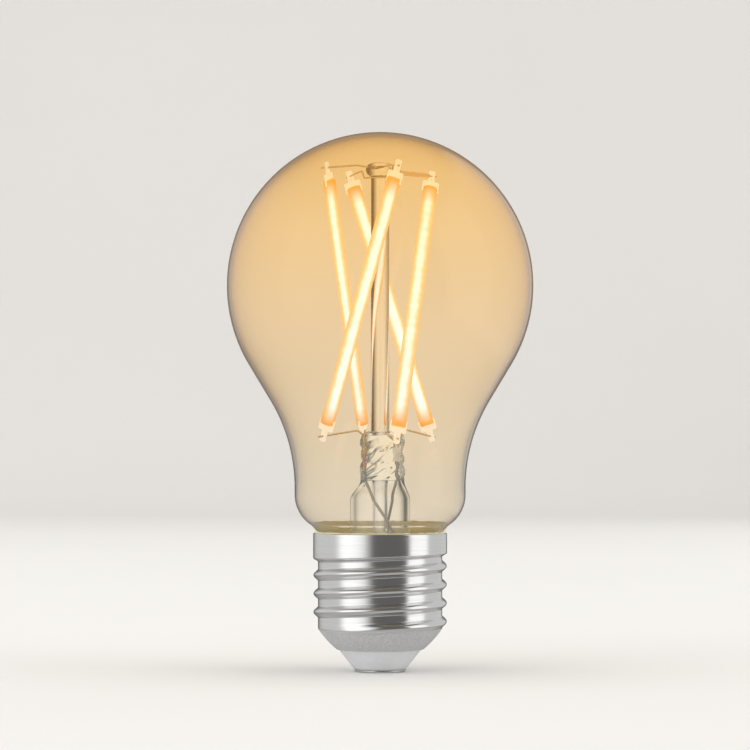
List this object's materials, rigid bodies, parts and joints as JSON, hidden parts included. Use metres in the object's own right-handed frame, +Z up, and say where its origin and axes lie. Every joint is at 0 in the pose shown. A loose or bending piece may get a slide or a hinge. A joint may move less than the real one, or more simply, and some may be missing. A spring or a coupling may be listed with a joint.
{
  "type": "smart light bulb",
  "caption": "Wi-Fi filament light bulb with a round clear amber glass globe, twisted light sticks on a glass stem, and a screw cap with its driver inside.",
  "frame": {"origin": "centre of the lower face of the end contact", "axes": "+Z up the bulb's axis from the end contact to the crown of the glass; -Y is the front"},
  "size_m": [0.06, 0.06, 0.1058],
  "materials": {
    "envelope_glass": "clear, amber tinted towards the crown",
    "stem_glass": "clear",
    "support_wire": "drawn nickel wire",
    "outer_lead": "tinned wire",
    "seal_copper": "copper-clad seal wire",
    "seal_foil": "nickel strip",
    "phosphor": "soft silicone, lit",
    "strip": "matte carrier",
    "led_chip": "lit chips",
    "tab_metal": "stamped, satin",
    "cap_metal": "satin nickel plate",
    "insulator": "matte white",
    "contact_metal": "tinned",
    "rivet_metal": "plain",
    "cement": "cream capping cement",
    "holder_plastic": "moulded",
    "board": "solder mask",
    "radio_board": "dark solder mask",
    "chip_body": "moulded resin",
    "can_metal": "drawn can",
    "sleeve_plastic": "shrunk sleeve",
    "ferrite": "ground ferrite",
    "winding": "enamelled copper",
    "resistor_coat": "cement coat",
    "shield_metal": "tinned sheet",
    "trace_metal": "gold flash",
    "passives": "chip parts",
    "hookup": "sleeved wire",
    "hookup_neutral": "sleeved wire",
    "solder": "bright solder"
  },
  "bodies": {
    "root": {"glass_envelope": "envelope_glass", "stem_flare_tube": "stem_glass", "stem_press": "stem_glass", "exhaust_tube": "stem_glass", "pillar_rod": "stem_glass", "pillar_button": "stem_glass", "top_jumper_a_c": "support_wire", "top_jumper_b_d": "support_wire", "jumper_sleeve_d": "tab_metal", "inner_lead_a": "support_wire", "inner_lead_b": "support_wire", "inner_lead_c": "support_wire", "inner_lead_d": "support_wire", "outer_lead_left": "outer_lead", "outer_lead_right": "outer_lead", "seal_wire_left": "seal_copper", "seal_foil_right": "seal_foil", "screw_shell": "cap_metal", "cap_insulator": "insulator", "end_contact": "contact_metal", "contact_rivet": "rivet_metal", "capping_cement": "cement", "driver_holder": "holder_plastic", "driver_board": "board", "bridge_rectifier": "chip_body", "driver_chip": "chip_body", "smoothing_capacitor": "can_metal", "capacitor_sleeve": "sleeve_plastic", "inductor_core": "ferrite", "inductor_winding": "winding", "fusible_resistor": "resistor_coat", "radio_board": "radio_board", "radio_shield": "shield_metal", "radio_antenna": "trace_metal", "board_passives": "passives", "live_lead": "hookup", "feed_lead": "hookup", "neutral_lead": "hookup_neutral", "solder_joints": "solder", "neutral_solder": "solder", "filament_a_phosphor": "phosphor", "filament_a_strip": "strip", "filament_a_chips": "led_chip", "filament_a_top_tab": "tab_metal", "filament_a_low_tab": "tab_metal", "filament_b_phosphor": "phosphor", "filament_b_strip": "strip", "filament_b_chips": "led_chip", "filament_b_top_tab": "tab_metal", "filament_b_low_tab": "tab_metal", "filament_c_phosphor": "phosphor", "filament_c_strip": "strip", "filament_c_chips": "led_chip", "filament_c_top_tab": "tab_metal", "filament_c_low_tab": "tab_metal", "filament_d_phosphor": "phosphor", "filament_d_strip": "strip", "filament_d_chips": "led_chip", "filament_d_top_tab": "tab_metal", "filament_d_low_tab": "tab_metal"}
  },
  "joints": []
}
